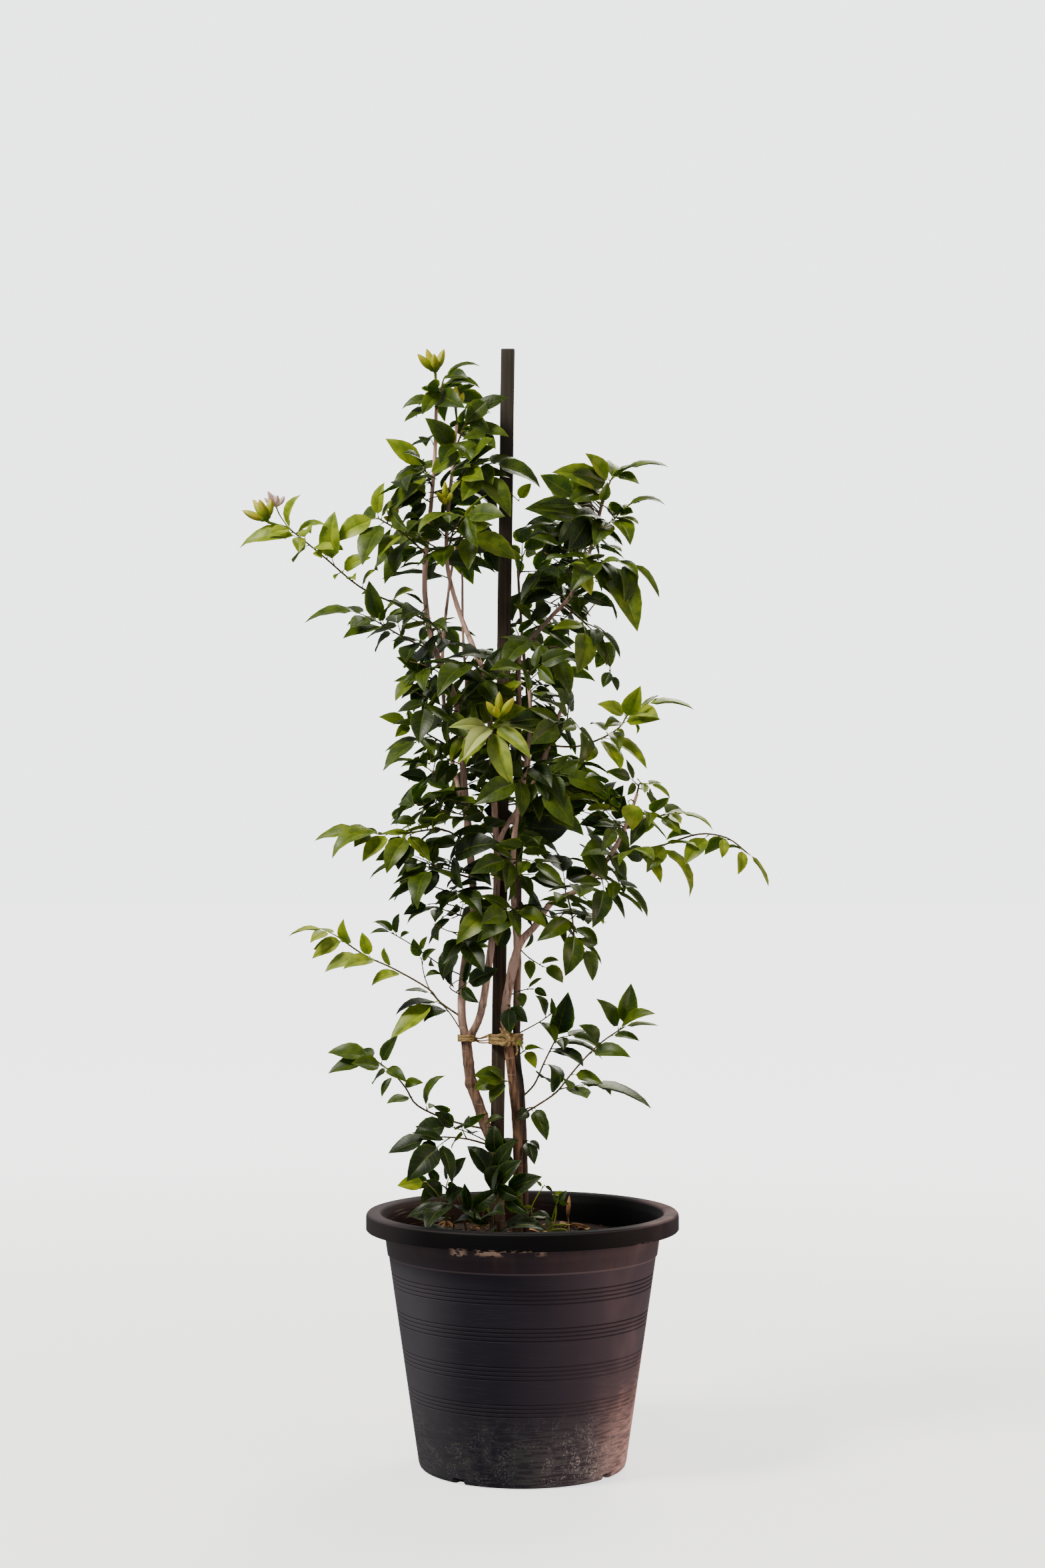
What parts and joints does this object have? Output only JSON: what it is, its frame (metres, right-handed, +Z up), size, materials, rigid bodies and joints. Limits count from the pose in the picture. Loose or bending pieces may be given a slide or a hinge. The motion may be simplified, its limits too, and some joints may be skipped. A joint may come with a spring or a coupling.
{
  "type": "potted orange jasmine",
  "caption": "Staked orange jasmine shrub with glossy compound leaves and pale tubular buds, tied with raffia, in a round dark plastic nursery pot filled with soil.",
  "frame": {"origin": "centre of the pot's flat base, on the surface that it stands on", "axes": "+Z up, -Y towards the viewer of the picture, +X to that viewer's right"},
  "size_m": [0.5377, 0.32, 1.1411],
  "materials": {
    "pot": "dark weathered plastic with scratches, pale deposits low down and tan dirt under the rim",
    "soil": "dark crumbly potting mix with bits of bark",
    "stake": "dark weathered sawn wood",
    "bark": "tan to pinkish brown bark, darker low down",
    "raffia": "golden tan dry raffia twine",
    "leaf": "glossy dark green leaf, yellow-green where young",
    "bud": "waxy yellow-green to cream bud",
    "dry_leaf": "dry orange-brown fallen leaf"
  },
  "bodies": {
    "root": {"buds_crown": "bud", "buds_inner": "bud", "buds_left": "bud", "buds_middle": "bud", "fallen_leaf_front": "dry_leaf", "fallen_leaf_left": "dry_leaf", "fallen_leaf_right": "dry_leaf", "pot": "pot", "shoot_back_crown": "leaf", "shoot_back_left": "leaf", "shoot_back_low": "leaf", "shoot_back_mid": "leaf", "shoot_back_top": "leaf", "shoot_centre_big": "leaf", "shoot_crown": "leaf", "shoot_crown_left": "leaf", "shoot_crown_right": "leaf", "shoot_droop_right": "leaf", "shoot_foot_front": "leaf", "shoot_foot_left": "leaf", "shoot_front_high": "leaf", "shoot_front_low": "leaf", "shoot_left_arch": "leaf", "shoot_left_faint": "leaf", "shoot_left_low": "leaf", "shoot_left_mass": "leaf", "shoot_left_reach": "leaf", "shoot_left_round": "leaf", "shoot_left_shoulder": "leaf", "shoot_left_waist": "leaf", "shoot_low_left": "leaf", "shoot_low_left_2": "leaf", "shoot_low_right": "leaf", "shoot_low_right_2": "leaf", "shoot_middle_back": "leaf", "shoot_middle_front": "leaf", "shoot_middle_left": "leaf", "shoot_middle_right": "leaf", "shoot_middle_star": "leaf", "shoot_over_stake": "leaf", "shoot_right_bright": "leaf", "shoot_right_crown": "leaf", "shoot_right_inner": "leaf", "shoot_right_long": "leaf", "shoot_right_low": "leaf", "shoot_right_mid": "leaf", "shoot_right_reach": "leaf", "shoot_right_tuft": "leaf", "shoot_right_upper": "leaf", "shoot_right_wing": "leaf", "shoot_right_wing_back": "leaf", "shoot_upper_front": "leaf", "soil": "soil", "stake": "stake", "stem_centre": "bark", "stem_left": "bark", "stem_right": "bark", "twine_tie": "raffia", "weed_sprout": "leaf"}
  },
  "joints": []
}
